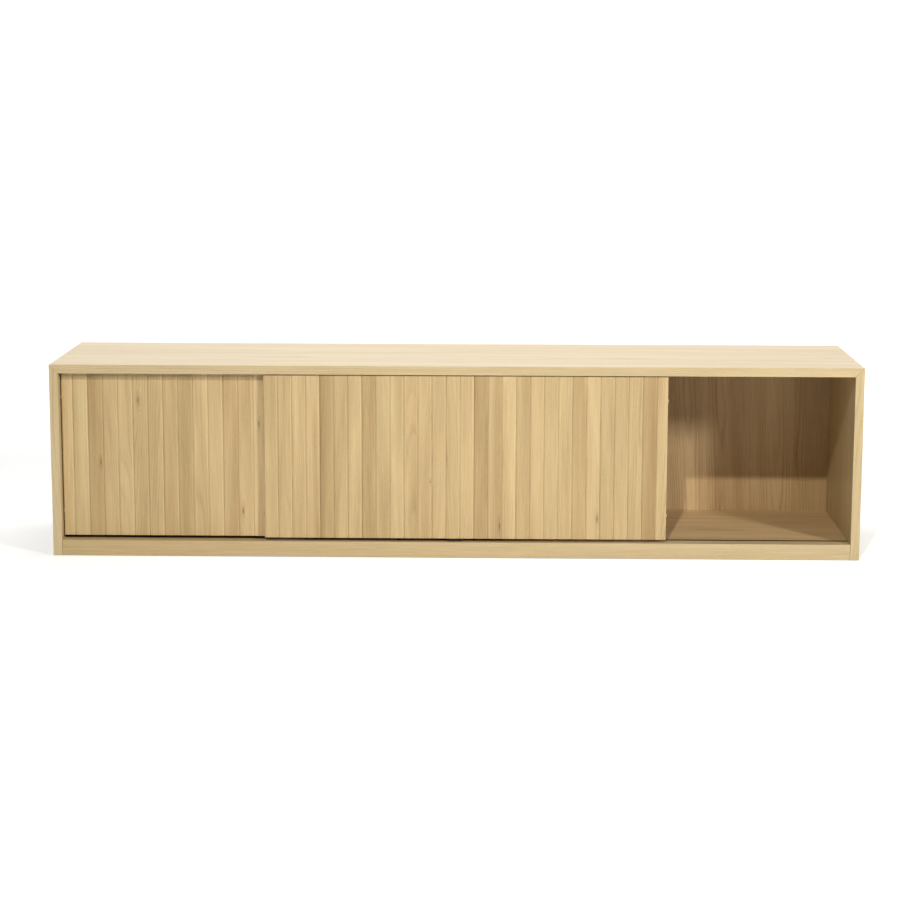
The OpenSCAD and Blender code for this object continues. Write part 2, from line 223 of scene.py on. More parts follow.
def saw(piece, axes, pith, lean=0.0, tone=0.0, fade=0.0, tint=0.0, leaf=None, knot=None):
    """Notes on each face corner where in the log it was, in metres.

    axes names the piece's directions across the face, through it and along the grain. pith is how far
    the middle of the piece lay from the log's heart, across and through. lean tilts the saw, which
    draws arches. tone makes the whole piece paler, tint turns it pinker, and fade is how much the
    tone rises along it. leaf gives the veneer's (first edge, leaf width, {number: (tone, tint)}),
    and each leaf has a place of its own. knot is (across, along, radius).
    """
    across, through, along = [LETTERS.index(a) for a in axes]
    mesh = piece.data
    points = [v.co for v in mesh.vertices]
    low = Vector([min(p[i] for p in points) for i in range(3)])
    high = Vector([max(p[i] for p in points) for i in range(3)])
    middle = (low + high) / 2
    start = chance.uniform(0, LOG_LENGTH)
    for name in ("log", "board", "knot"):
        mesh.attributes.new(name, "FLOAT_VECTOR", "CORNER")
    log, board, near_knot = [mesh.attributes[name].data for name in ("log", "board", "knot")]
    leaves = {}
    for polygon in mesh.polygons:
        number = int((polygon.center[across] - leaf[0]) // leaf[1]) if leaf else 0
        if not leaf:
            leaves[number] = (0.0, 0.0, 0.0, 0.0)
        elif number not in leaves:
            shift = chance.uniform(-LEAF_SHIFT, LEAF_SHIFT)
            jump = chance.uniform(0, LEAF_JUMP)
            usual = (chance.uniform(-LEAF_TONE, LEAF_TONE), 0.0)
            leaves[number] = (shift, jump, *leaf[2].get(number, usual))
        shift, jump, leaf_tone, leaf_tint = leaves[number]
        centre = leaf[0] + (number + 0.5) * leaf[1] if leaf else middle[across]
        sides = [(points[a] - points[b]).length for a, b in polygon.edge_keys]
        eased = float(polygon.area < EASED_W * max(sides))
        for corner in polygon.loop_indices:
            p = points[mesh.loops[corner].vertex_index]
            length = p[along] - low[along]
            log[corner].vector = (
                p[across] - centre + pith[0] + shift + lean * length,
                p[through] - middle[through] + pith[1],
                length + start + jump,
            )
            drift = fade * (length / (high[along] - low[along]) - 0.5)
            board[corner].vector = (tone + leaf_tone + drift, tint + leaf_tint, eased)
            if knot:
                away = (p[across] - middle[across] - knot[0], p[along] - low[along] - knot[1])
                near_knot[corner].vector = (away[0] / knot[2], away[1] / knot[2], 0)


# ---- Finishes ----

COLOUR_A, COLOUR_B, COLOUR_OUT = 6, 7, 2  # a Mix node's sockets for colours
PORE_BROWN = "7a5a38"
KNOT_BROWN = "6b4a2a"
MIDDLE = (0.5, 0.5, 0.5)
WAVE_RING = 0.314  # the width of the wave pattern's rings, times its scale


def linear(code):
    """An sRGB hex colour as linear RGBA."""
    parts = [int(code[i : i + 2], 16) / 255 for i in (0, 2, 4)]
    return [p / 12.92 if p <= 0.04045 else ((p + 0.055) / 1.055) ** 2.4 for p in parts] + [1.0]


def add(tree, kind, inputs, **settings):
    """Adds a node with its settings, values and links, and returns its outputs."""
    node = tree.nodes.new("ShaderNode" + kind)
    for name, value in settings.items():
        setattr(node, name, value)
    for socket, value in inputs.items():
        if isinstance(value, bpy.types.NodeSocket):
            tree.links.new(value, node.inputs[socket])
        else:
            node.inputs[socket].default_value = value
    return node.outputs


def ramp(tree, value, start, end, low=0.0, high=1.0, kind="LINEAR"):
    """Turns a value between start and end into one between low and high, and never goes past them."""
    inputs = {0: value, 1: start, 2: end, 3: low, 4: high}
    return add(tree, "MapRange", inputs, interpolation_type=kind)[0]


def product(tree, a, b):
    """One value times another."""
    return add(tree, "Math", {0: a, 1: b}, operation="MULTIPLY")[0]


def larger(tree, a, b):
    """The larger of two values."""
    return add(tree, "Math", {0: a, 1: b}, operation="MAXIMUM")[0]


def raised(tree, base, value, share):
    """A base with a share of a value added."""
    return add(tree, "Math", {0: value, 1: share, 2: base}, operation="MULTIPLY_ADD")[0]


def stretched(tree, place, repeats):
    """A place with each of its axes multiplied."""
    return add(tree, "VectorMath", {0: place, 1: repeats}, operation="MULTIPLY")[0]


def clouds(tree, place, repeats, detail, rough=0.5):
    """Cloudy noise, with so many clouds to the metre on each axis."""
    place = stretched(tree, place, repeats)
    return add(tree, "TexNoise", {"Vector": place, "Scale": 1.0, "Detail": detail, "Roughness": rough})


def blend(tree, share, under, over):
    """A share of one colour over another."""
    inputs = {0: share, COLOUR_A: under, COLOUR_B: over}
    return add(tree, "Mix", inputs, data_type="RGBA")[COLOUR_OUT]


def new_finish(name, **surface):
    """A material with its surface shader set, and the tree to add to."""
    finish = bpy.data.materials.new(name)
    finish.use_nodes = True
    tree = finish.node_tree
    shader = tree.nodes["Principled BSDF"]
    for socket, value in surface.items():
        shader.inputs[socket.replace("_", " ")].default_value = value
    return finish, tree, shader


def oak(name, pale, tan, brown, ring_mm, ring_show, knots=False, **surface):
    """Planed and sanded oak under a matt lacquer.

    Growth rings show as soft bands, with a dark porous line where each year starts, and short pores
    along the grain catch the lacquer. The sander leaves fine streaks and slightly paler edges.
    """
    finish, tree, shader = new_finish(name, IOR=1.5, **surface)
    log = add(tree, "Attribute", {}, attribute_name="log")["Vector"]
    board = add(tree, "Attribute", {}, attribute_name="board")["Vector"]
    board = add(tree, "SeparateXYZ", {0: board})
    board_tone, board_tint, eased = board["X"], board["Y"], board["Z"]

    # The heart of a tree wanders by a few millimetres over each half metre
    wander = clouds(tree, log, (5, 5, 1.6), detail=2.0)["Color"]
    wander = add(tree, "VectorMath", {0: wander, 1: MIDDLE}, operation="SUBTRACT")[0]
    wander = add(tree, "VectorMath", {0: wander, "Scale": 24 * MM}, operation="SCALE")["Vector"]
    grown = add(tree, "VectorMath", {0: log, 1: wander}, operation="ADD")[0]
    if knots:
        # A knot is a tall oval, and the rings part round it over about three times its radius
        knot = add(tree, "Attribute", {}, attribute_name="knot")["Vector"]
        knot = stretched(tree, knot, (1.0, 0.22, 1.0))
        knot = add(tree, "VectorMath", {0: knot}, operation="LENGTH")["Value"]
        parted = ramp(tree, knot, 4.0, 0.6, 0.0, 5 * MM, "SMOOTHSTEP")
        grown = add(tree, "VectorMath", {0: grown, 1: parted}, operation="ADD")[0]
    rings = add(
        tree,
        "TexWave",
        {
            "Vector": stretched(tree, grown, (1, 1, 0.06)),
            "Scale": WAVE_RING / (ring_mm * MM),
            "Distortion": 1.6,
            "Detail": 2.0,
            "Detail Scale": 0.35,
        },
        wave_type="RINGS",
        rings_direction="Z",
        wave_profile="SAW",
    )["Fac"]
    early = ramp(tree, rings, 0.0, 0.42, 1.0, 0.0, "SMOOTHSTEP")
    late = ramp(tree, rings, 0.88, 1.0, 0.0, 0.8, "SMOOTHSTEP")
    band = larger(tree, early, late)

    # Years differ, so the bands fade in and out over about 33 mm across and 600 mm along
    years = clouds(tree, log, (30, 30, 1.7), detail=3.0)["Fac"]
    strong = ramp(tree, years, 0.35, 0.68, 0.15, 1.0)
    band = product(tree, band, strong)

    # Streaks of 2.5 mm by 140 mm, and fibres of 0.7 mm by 30 mm
    streaks = clouds(tree, grown, (400, 400, 7), detail=2.0, rough=0.6)["Fac"]
    fibres = clouds(tree, grown, (1400, 1400, 32), detail=2.0, rough=0.6)["Fac"]
    # Oak's pores are 0.2 mm wide, drawn here at 0.5 mm by 7 mm so that they show
    pores = clouds(tree, grown, (2000, 2000, 140), detail=1.0)["Fac"]
    pores = ramp(tree, pores, 0.58, 0.72)
    porous = ramp(tree, band, 0.0, 0.8, 0.25, 1.0)
    pores = product(tree, pores, porous)

    # Colour: the board's own tone, patches, rings, pores
    patch = ramp(tree, years, 0.3, 0.7, -0.25, 0.25)
    shade = raised(tree, 0.5, board_tone, 0.38)
    shade = add(tree, "Math", {0: shade, 1: patch}, operation="SUBTRACT", use_clamp=True)[0]
    colour = blend(tree, shade, linear(tan), linear(pale))
    colour = blend(tree, product(tree, band, ring_show), colour, linear(brown))
    colour = blend(tree, product(tree, pores, 0.5), colour, linear(PORE_BROWN))

    # Streaks, fibres and eased edges are paler or darker
    light = ramp(tree, streaks, 0.3, 0.7, 0.92, 1.08)
    light = product(tree, light, ramp(tree, fibres, 0.25, 0.75, 0.95, 1.05))
    light = product(tree, light, ramp(tree, eased, 0.0, 1.0, 1.0, 1.06))
    # Boards lean a little to pink or to olive
    pink = ramp(tree, board_tint, -1.0, 1.0, 0.975, 1.025)
    olive = ramp(tree, board_tint, -1.0, 1.0, 1.012, 0.988)
    hue = add(tree, "CombineXYZ", {0: pink, 1: olive, 2: 1.0})[0]
    hue = add(tree, "VectorMath", {0: hue, "Scale": light}, operation="SCALE")["Vector"]
    colour = add(tree, "VectorMath", {0: colour, 1: hue}, operation="MULTIPLY")[0]
    if knots:
        heart = ramp(tree, knot, 1.0, 0.3, 0.0, 0.75, "SMOOTHSTEP")
        halo = ramp(tree, knot, 2.6, 0.9, 0.0, 0.2, "SMOOTHSTEP")
        colour = blend(tree, larger(tree, heart, halo), colour, linear(KNOT_BROWN))
    tree.links.new(colour, shader.inputs["Base Color"])

    # Lacquer sinks into the pores and the early wood, which stay duller
    rough = raised(tree, surface["Roughness"], band, 0.08)
    rough = raised(tree, rough, pores, 0.15)
    rough = raised(tree, rough, eased, -0.06)
    tree.links.new(rough, shader.inputs["Roughness"])
    relief = raised(tree, 1.0, band, -0.35)
    relief = raised(tree, relief, pores, -0.8)
    relief = raised(tree, relief, fibres, 0.4)
    bump = add(tree, "Bump", {"Height": relief, "Strength": 0.5, "Distance": 0.12 * MM})[0]
    tree.links.new(bump, shader.inputs["Normal"])
    return finish


def grained(name, pale, dark, repeats, share, bump_mm, **surface):
    """A material with fine darker marks, so many to the metre on X, Y and Z."""
    finish, tree, shader = new_finish(name, **surface)
    place = add(tree, "TexCoord", {})["Object"]
    marks = clouds(tree, place, repeats, detail=3.0, rough=0.6)["Fac"]
    marks = ramp(tree, marks, 0.3, 0.7)
    colour = blend(tree, product(tree, marks, share), linear(pale), linear(dark))
    tree.links.new(colour, shader.inputs["Base Color"])
    rough = raised(tree, surface["Roughness"] - 0.06, marks, 0.12)
    tree.links.new(rough, shader.inputs["Roughness"])
    bump = add(tree, "Bump", {"Height": marks, "Strength": 0.6, "Distance": bump_mm * MM})[0]
    tree.links.new(bump, shader.inputs["Normal"])
    return finish


def metal(name, pale, dark, repeats, share, bump_mm, roughness):
    """Bare or coated metal, with darker marks from how it was made."""
    return grained(name, pale, dark, repeats, share, bump_mm, Metallic=1.0, Roughness=roughness)


def plastic(name, pale, dark, per_metre, share, bump_mm, roughness, ior):
    """A moulded or cast plastic with an even texture."""
    repeats = (per_metre, per_metre, per_metre)
    return grained(name, pale, dark, repeats, share, bump_mm, Roughness=roughness, IOR=ior)


# Solid oak of the case: planed, sanded along the grain and matt lacquered, pale and even
case_oak = oak("solid oak", "cfba91", "c0a778", "a08556", 3.2, 0.42, Roughness=0.4)
# Solid oak of the slats: ripped from many boards, planed and thinly lacquered. Each strip keeps a
# tone of its own, and the grain stands straight up
slat_oak = oak("solid oak slats", "d1b786", "a38658", "8d6d40", 2.6, 0.34, knots=True, Roughness=0.5)
# Oak veneer: sliced thin, pressed on and lacquered. Wide leaves show open arches, and they look a
# little browner than the solid wood
veneer_oak = oak("oak veneer", "d7bb8b", "b9986a", "8d6d47", 4.0, 0.5, Roughness=0.52)
# Beech: planed and left bare, pinkish, with short darker flecks of about 1 mm by 6 mm
beech = grained("beech", "dcbf98", "b98f66", (160, 900, 900), 0.5, 0.04, Roughness=0.6, IOR=1.5)
# Birch plywood: peeled layers, glued and sawn, that show as stripes about 1.5 mm thick
plywood = grained("birch plywood", "e0c9a0", "b28d5c", (60, 60, 650), 0.6, 0.05, Roughness=0.6, IOR=1.5)
DIE_LINES = (3, 1500, 1500)
CLOUDY = (420, 420, 420)
# Extruded aluminium, satin anodised: die lines run along it and blur reflections crosswise
aluminium = metal("anodised aluminium", "cfd0d1", "a9abad", DIE_LINES, 0.6, 0.008, 0.36)
# Extruded aluminium, bronze anodised: dark brown with the same die lines
bronze = metal("bronze anodised aluminium", "4b3d31", "2f261f", DIE_LINES, 0.6, 0.008, 0.42)
# Zinc-plated steel: bright, with a cloudy bloom a few millimetres across
steel = metal("zinc-plated steel", "c6c8ca", "9c9fa6", CLOUDY, 0.7, 0.01, 0.34)
# Blackened steel: an oiled oxide skin, dark and satin, with the same cloudy bloom
black_steel = metal("blackened steel", "2e2c2a", "1f1e1d", CLOUDY, 0.7, 0.01, 0.5)
# Moulded nylon: brown so dark that it looks black, and dull, with a fine texture from the mould
nylon = plastic("moulded nylon", "2b1e10", "362817", 900, 0.5, 0.02, 0.7, 1.53)
# Moulded ABS: black, with the dull bloom of a spark-eroded mould, drawn at 0.8 mm so that it shows
black_abs = plastic("black ABS", "1b1b1c", "2a2a2b", 1200, 0.8, 0.03, 0.5, 1.54)
# Cast polyurethane: milky tan, soft and waxy, with a faint mottling
polyurethane = plastic("soft polyurethane", "c4ae88", "a38b63", 700, 0.5, 0.02, 0.5, 1.5)

# ---- The case ----

top_low, top_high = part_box("top_panel")
side_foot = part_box("side_left")[0].z
floor_low, floor_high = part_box("floor_panel")
back_low, back_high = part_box("back_panel_right")
partition_low, partition_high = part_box("centre_partition")
rail_low, rail_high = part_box("front_rail")
board_t = top_high.z - top_low.z
half_w = (top_high.x - top_low.x) / 2
inner_x = half_w - board_t
inner_top = top_low.z
front_y, rear_y = top_low.y, top_high.y
BACK_FIT = 0.2 * MM
TRACK_FIT = 0.1 * MM

# How far edges were rounded over, from sanded by hand to cut and left
SANDED = 0.7 * MM
LIPPED = 0.6 * MM
CRISP = 0.4 * MM
LAID = 0.3 * MM
CUT_VENEER = 0.2 * MM

# The rebate that the back panels drop into
pocket_x = back_high.x + BACK_FIT
pocket_low = (-pocket_x, back_low.y, back_low.z - BACK_FIT)
pocket_high = (pocket_x, rear_y + board_t, back_high.z + BACK_FIT)


def track_groove(node):
    """The groove in the top that a track sits in."""
    low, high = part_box(node)
    groove_low = (low.x - TRACK_FIT, low.y - TRACK_FIT, low.z - board_t)
    groove_high = (high.x + TRACK_FIT, high.y + TRACK_FIT, high.z + TRACK_FIT)
    return block(groove_low, groove_high)


# A hair of a joint shows where two boards are glued
JOINT = 0.5 * MM
top_outline = [
    (-half_w + JOINT, top_high.z),
    (-inner_x + JOINT, inner_top),
    (inner_x - JOINT, inner_top),
    (half_w - JOINT, top_high.z),
]
top_board = solid(prism(top_outline, "Y", front_y, rear_y), "top_board")
front_groove = track_groove("top_track_front")
rear_groove = track_groove("top_track_rear")
cut(top_board, block(pocket_low, pocket_high), front_groove, rear_groove)
ease(top_board, SANDED)
saw(top_board, "YZX", (0.05, 0.11), lean=0.012, tone=0.25, fade=-0.6)
finished(top_board, "case", "oak", case_oak, "top_panel")

for side, word, tone in ((-1, "left", 0.4), (1, "right", -0.3)):
    outer = side * half_w
    inner = side * inner_x
    outline = [(outer, side_foot), (inner, side_foot), (inner, inner_top), (outer, top_high.z)]
    board = solid(prism(outline, "Y", front_y, rear_y), f"side_board_{word}")
    cut(board, block(pocket_low, pocket_high))
    ease(board, SANDED)
    saw(board, "YXZ", (-0.06, 0.07 * side), lean=0.03, tone=tone)
    finished(board, "case", "oak", case_oak, f"side_{word}")

channel_low, channel_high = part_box("lower_channel")
floor_board = solid(block(floor_low, floor_high), "floor_board")
cut(floor_board, block(channel_low - Vector((MM, MM, 0)), channel_high + Vector((MM, 0, MM))))
ease(floor_board, CRISP)
saw(floor_board, "YZX", (0.03, 0.16), lean=0.02, tone=-0.1)
finished(floor_board, "case", "oak_veneer", veneer_oak, "floor_panel")

rail_left = (rail_low.x + JOINT, rail_low.y, rail_low.z)
rail_right = (rail_high.x - JOINT, rail_high.y, rail_high.z)
front_rail = solid(block(rail_left, rail_right), "front_rail_board")
ease(front_rail, SANDED)
saw(front_rail, "ZYX", (0.06, 0.05), lean=0.01, tone=-0.2, fade=1.4)
finished(front_rail, "case", "oak", case_oak, "front_rail")

# The partition is veneered and has a solid lipping glued to its front edge
lipping_y = partition_low.y + 4 * MM
veneered_low = (partition_low.x, lipping_y, partition_low.z)
partition = solid(block(veneered_low, partition_high), "partition_board")
ease(partition, CUT_VENEER)
saw(partition, "YXZ", (0.02, 0.12), lean=0.02, tone=-0.2)
finished(partition, "case", "oak_veneer", veneer_oak, "centre_partition")
lipping_high = (partition_high.x, lipping_y, partition_high.z)
lipping = solid(block(partition_low, lipping_high), "partition_lipping")
ease(lipping, LIPPED)
saw(lipping, "XYZ", (0.05, 0.02), tone=-0.1)
finished(lipping, "case", "oak", case_oak, "centre_partition")

# The back panels: veneer leaves of one width, with the outlet's hole cut through
LEAF_W = 115 * MM
LEAVES = 9
FIRST_LEAF = {"left": 6 * MM, "right": 82 * MM}
LEAF_TONES = {"left": {}, "right": {5: (-0.1, 0.4), 6: (0.2, 0.2), 7: (-1.0, -1.0)}}
RING_WALL = 5 * MM
for word in ("left", "right"):
    low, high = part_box(f"back_panel_{word}")
    ring_low, ring_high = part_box(f"cable_ring_{word}")
    ring_mid = (ring_low + ring_high) / 2
    hole_r = (ring_high.x - ring_low.x) / 2 - RING_WALL
    panel = solid(block(low, high), f"back_board_{word}")
    cut(panel, disc(ring_mid, "Y", hole_r, low.y - MM, high.y + MM))
    bm = bmesh.new()
    bm.from_mesh(panel.data)
    first = low.x + FIRST_LEAF[word]
    edges = [first + k * LEAF_W for k in range(LEAVES)]
    split_at(bm, "X", [edge for edge in edges if edge < high.x])
    bm.to_mesh(panel.data)
    bm.free()
    ease(panel, 0.25 * MM, segments=1)
    saw(panel, "XYZ", (0.012, 0.045), lean=0.05, tone=-0.25, leaf=(first, LEAF_W, LEAF_TONES[word]))
    finished(panel, "case", "oak_veneer", veneer_oak, f"back_panel_{word}")

for node in ("rear_rail", "centre_foot_rail", "floor_cleat_left", "floor_cleat_right"):
    low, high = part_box(node)
    batten = solid(block(low, high), node + "_batten")
    ease(batten, 0.8 * MM)
    finished(batten, "case", "beech", beech, node)

# ---- Doors ----

# Each knot's height above the foot, distance from the slat's middle and radius, in millimetres
KNOTS = {
    "rear_slat_03": (185, 12, 2.6),
    "rear_slat_06": (341, -5, 2.6),
    "rear_slat_13": (63, -8, 3.0),
    "rear_slat_14": (283, -4, 2.0),
    "front_slat_12": (143, 14, 1.2),
    "front_slat_17": (32, 13, 3.2),
    "front_slat_24": (52, 12, 2.8),
}
NO_KNOT = (1.0, 1.0, 5 * MM)  # a metre away, for the other slats
# The tones of the few slats that stand out. rear_slat_14 is made paler as painted light, which lifts
# the shadow that the front door casts on it
SLAT_TONES_AND_PAINTED_LIGHT = {
    "front_slat_05": -0.75,
    "front_slat_08": -0.4,
    "front_slat_16": -0.5,
    "front_slat_28": -0.75,
    "rear_slat_03": -0.25,
    # Painted light: paler, to lift the shadow that the front door casts on this slat
    "rear_slat_14": 1.3,
}
CHAMFER = 3.2 * MM
CHAMFER_DEPTH = 1.3 * MM
HALF_KERF = 2 * MM
KERF_H = 9 * MM

for door, tone in (("front", 0.0), ("rear", -0.1)):
    low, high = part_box(f"{door}_door_board")
    panel = solid(block(low, high), f"{door}_door_panel")
    if door == "front":
        mid = (low.y + high.y) / 2
        kerf_low = (low.x - MM, mid - HALF_KERF, low.z - MM)
        kerf_high = (high.x + MM, mid + HALF_KERF, low.z + KERF_H)
        cut(panel, block(kerf_low, kerf_high))
    ease(panel, LAID)
    saw(panel, "XYZ", (0.3, 0.05), lean=0.02, tone=tone)
    finished(panel, f"{door}_door", "oak_veneer", veneer_oak, f"{door}_door_board")

    for number, (low, high) in enumerate(solids(f"{door}_door_slats"), 1):
        name = f"{door}_slat_{number:02d}"
        outline = [
            (low.x, high.y),
            (low.x, low.y + CHAMFER_DEPTH),
            (low.x + CHAMFER, low.y),
            (high.x - CHAMFER, low.y),
            (high.x, low.y + CHAMFER_DEPTH),
            (high.x, high.y),
        ]
        slat = solid(prism(outline, "Z", low.z, high.z), name)
        ease(slat, 0.35 * MM, sharpest=15)
        pith = (chance.choice((-1, 1)) * chance.uniform(0.0, 0.09), chance.uniform(0.03, 0.1))
        # Each slat's tone; the one for rear_slat_14 also holds painted light
        own_tone_and_painted_light = SLAT_TONES_AND_PAINTED_LIGHT.get(name, chance.triangular(0.15, 0.85, 0.5))
        knot = NO_KNOT
        if name in KNOTS:
            height, aside, radius = KNOTS[name]
            knot = (aside * MM, height * MM, radius * MM)
        saw(
            slat,
            "XYZ",
            pith,
            lean=chance.uniform(-0.03, 0.03),
            tone=tone + own_tone_and_painted_light,
            tint=chance.uniform(-0.5, 0.5),
            knot=knot,
        )
        finished(slat, f"{door}_door", "oak_slats", slat_oak, f"{door}_door_slats")

# ---- Tracks and running gear ----

WALL = 1.2 * MM
HALF_SLOT = 2.5 * MM
DIE_EDGE = 0.2 * MM
for word in ("front", "rear"):
    low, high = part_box(f"top_track_{word}")
    mid = (low.y + high.y) / 2
    outline = [
        (low.y, low.z),
        (mid - HALF_SLOT, low.z),
        (mid - HALF_SLOT, low.z + WALL),
        (low.y + WALL, low.z + WALL),
        (low.y + WALL, high.z - WALL),
        (high.y - WALL, high.z - WALL),
        (high.y - WALL, low.z + WALL),
        (mid + HALF_SLOT, low.z + WALL),
        (mid + HALF_SLOT, low.z),
        (high.y, low.z),
        (high.y, high.z),
        (low.y, high.z),
    ]
    track = solid(prism(outline, "X", low.x, high.x), f"{word}_track")
    ease(track, DIE_EDGE)
    finished(track, "case", "track_aluminium", aluminium, f"top_track_{word}")

low, high = channel_low, channel_high
outline = [
    (low.y, low.z),
    (high.y, low.z),
    (high.y, high.z),
    (high.y - WALL, high.z),
    (high.y - WALL, low.z + WALL),
    (low.y + WALL, low.z + WALL),
    (low.y + WALL, high.z),
    (low.y, high.z),
]
channel = solid(prism(outline, "X", low.x, high.x), "floor_channel")
ease(channel, DIE_EDGE)
finished(channel, "case", "bronze_aluminium", bronze, "lower_channel")

# Gliders: a head that runs in the track, on a stem with a chamfered foot
HEAD_H = 4 * MM
STEM_R = 2 * MM
for door in ("front", "rear"):
    for word in ("left", "right"):
        node = f"{door}_glider_{word}"
        low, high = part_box(node)
        mid = (low + high) / 2
        neck_z = high.z - HEAD_H
        head = solid(block((low.x, low.y, neck_z), high), node + "_part")
        ease(head, 0.9 * MM, segments=3)
        stem = turned(
            [
                (0, low.z),
                (STEM_R - 0.6 * MM, low.z),
                (STEM_R, low.z + 0.8 * MM),
                (STEM_R, neck_z - 0.5 * MM),
                (STEM_R + 0.4 * MM, neck_z + 0.2 * MM),
                (0, neck_z + 0.2 * MM),
            ],
            sides=24,
        )
        stem.transform(Matrix.Translation((mid.x, mid.y, 0)))
        stem.from_mesh(head.data)
        stem.to_mesh(head.data)
        stem.free()
        finished(head, f"{door}_door", "nylon", nylon, node)

# Shoes: a plate on the back of the rear door, with a toe that stands in the floor's channel
SHOE_PLATE_T = 3 * MM
TOE_T = 8.4 * MM
HEEL_H = 16.3 * MM
TOE_TOP_H = 20.3 * MM
INSTEP_H = 26.3 * MM
for word in ("left", "right"):
    low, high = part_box(f"rear_shoe_{word}")
    outline = [
        (low.y, low.z + HEEL_H),
        (high.y - TOE_T, low.z + HEEL_H),
        (high.y - TOE_T, low.z),
        (high.y, low.z),
        (high.y, low.z + TOE_TOP_H),
        (low.y + SHOE_PLATE_T, low.z + INSTEP_H),
        (low.y + SHOE_PLATE_T, high.z),
        (low.y, high.z),
    ]
    shoe = solid(prism(outline, "X", low.x, high.x), f"rear_shoe_{word}_part")
    ease(shoe, 0.5 * MM)
    finished(shoe, "rear_door", "nylon", nylon, f"rear_shoe_{word}")

# The guide: a plate on the rail, with a fin that stands in the front door's kerf
FIN_FRONT = 4.5 * MM
FIN_BACK = 7.5 * MM
GUIDE_PLATE_T = 2.5 * MM
low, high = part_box("centre_guide")
fin_low = (low.x, low.y + FIN_FRONT, low.z)
fin_high = (high.x, low.y + FIN_BACK, high.z)
fin = solid(block(fin_low, fin_high), "guide_fin")
ease(fin, 0.8 * MM, segments=3)
plate = solid(block(low, (high.x, high.y, low.z + GUIDE_PLATE_T)), "guide_plate")
ease(plate, 0.6 * MM)
for piece in (fin, plate):
    finished(piece, "case", "nylon", nylon, "centre_guide")

# Soft bumpers: domed discs stuck to the door's ends
for door in ("front", "rear"):
    domes = []
    boxes = solids(f"{door}_door_bumpers")
    middle_x = sum(low.x + high.x for low, high in boxes) / 2 / len(boxes)
    for low, high in boxes:
        radius = (high.y - low.y) / 2
        height = high.x - low.x
        dome = turned(
            [
                (0, 0),
                (radius, 0),
                (radius, height * 0.3),
                (radius * 0.93, height * 0.62),
                (radius * 0.7, height * 0.88),
                (radius * 0.35, height * 0.98),
                (0, height),
            ],
            sides=32,
        )
        outwards = 1 if low.x > middle_x else -1
        dome.transform(Matrix.Rotation(outwards * math.pi / 2, 4, "Y"))
        base_x = low.x if outwards > 0 else high.x
        dome.transform(Matrix.Translation((base_x, (low.y + high.y) / 2, (low.z + high.z) / 2)))
        domes.append(dome)
    bumpers = several(domes, f"{door}_bumpers")
    bumpers.data.shade_smooth()
    finished(bumpers, f"{door}_door", "bumper_rubber", polyurethane, f"{door}_door_bumpers")

# Glides: discs with a rounded rim
discs = []
for low, high in solids("glides"):
    radius = (high.x - low.x) / 2
    height = high.z - low.z
    glide = turned(
        [
            (0, 0),
            (radius - 0.7 * MM, 0),
            (radius - 0.2 * MM, 0.25 * MM),
            (radius, 0.7 * MM),
            (radius, height),
            (0, height),
        ]
    )
    glide.transform(Matrix.Translation(((low.x + high.x) / 2, (low.y + high.y) / 2, low.z)))
    discs.append(glide)
finished(several(discs, "case_glides"), "case", "nylon", nylon, "glides")

# Cable rings: a flange with a soft rim, and a throat with an eased mouth
FLANGE_W = 8 * MM
FLANGE_LAP = 5.2 * MM
FLANGE_T = 2 * MM
for word in ("left", "right"):
    low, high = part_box(f"cable_ring_{word}")
    mid = (low + high) / 2
    flange_r = (high.x - low.x) / 2
    throat_r = flange_r - FLANGE_W
    sleeve_r = flange_r - FLANGE_LAP
    depth = high.y - low.y
    ring = turned(
        [
            (throat_r, 1.2 * MM),
            (throat_r + 0.3 * MM, 0.4 * MM),
            (throat_r + 1.2 * MM, 0),
            (flange_r - 1.4 * MM, 0),
            (flange_r - 0.4 * MM, 0.5 * MM),
            (flange_r, 1.4 * MM),
            (flange_r, FLANGE_T),
            (sleeve_r, FLANGE_T),
            (sleeve_r, depth - 0.3 * MM),
            (sleeve_r - 0.3 * MM, depth),
            (throat_r + 0.3 * MM, depth),
            (throat_r, depth - 0.3 * MM),
        ],
        sides=72,
        ring=True,
    )
    ring.transform(Matrix.Rotation(-math.pi / 2, 4, "X"))
    ring.transform(Matrix.Translation((mid.x, low.y, mid.z)))
    outlet = solid(ring, f"cable_outlet_{word}")
    outlet.data.shade_smooth()
    outlet.data.set_sharp_from_angle(angle=math.radians(50))
    finished(outlet, "case", "black_plastic", black_abs, f"cable_ring_{word}")

# ---- Screws ----


def screw_shape(head_r, head_h, shank_r, length):
    """A pan-head screw with a cross recess, head up, its head's seat at height 0."""
    head = solid(
        turned(
            [
                (0, -length),
                (shank_r * 0.3, -length + shank_r * 0.8),
                (shank_r, -length + shank_r * 3),
                (shank_r, 0),
                (head_r, 0),
                (head_r, head_h * 0.35),
                (head_r * 0.86, head_h * 0.75),
                (head_r * 0.55, head_h * 0.96),
                (0, head_h),
            ],
            sides=28,
        ),
        "screw",
    )
    arm = head_r * 0.55
    slot = head_r * 0.13
    bottom = head_h * 0.35
    top = head_h * 2
    cut(
        head,
        block((-arm, -slot, bottom), (arm, slot, top)),
        block((-slot, -arm, bottom), (slot, arm, top)),
    )
    bm = bmesh.new()
    bm.from_mesh(head.data)
    bpy.data.objects.remove(head)
    return bm


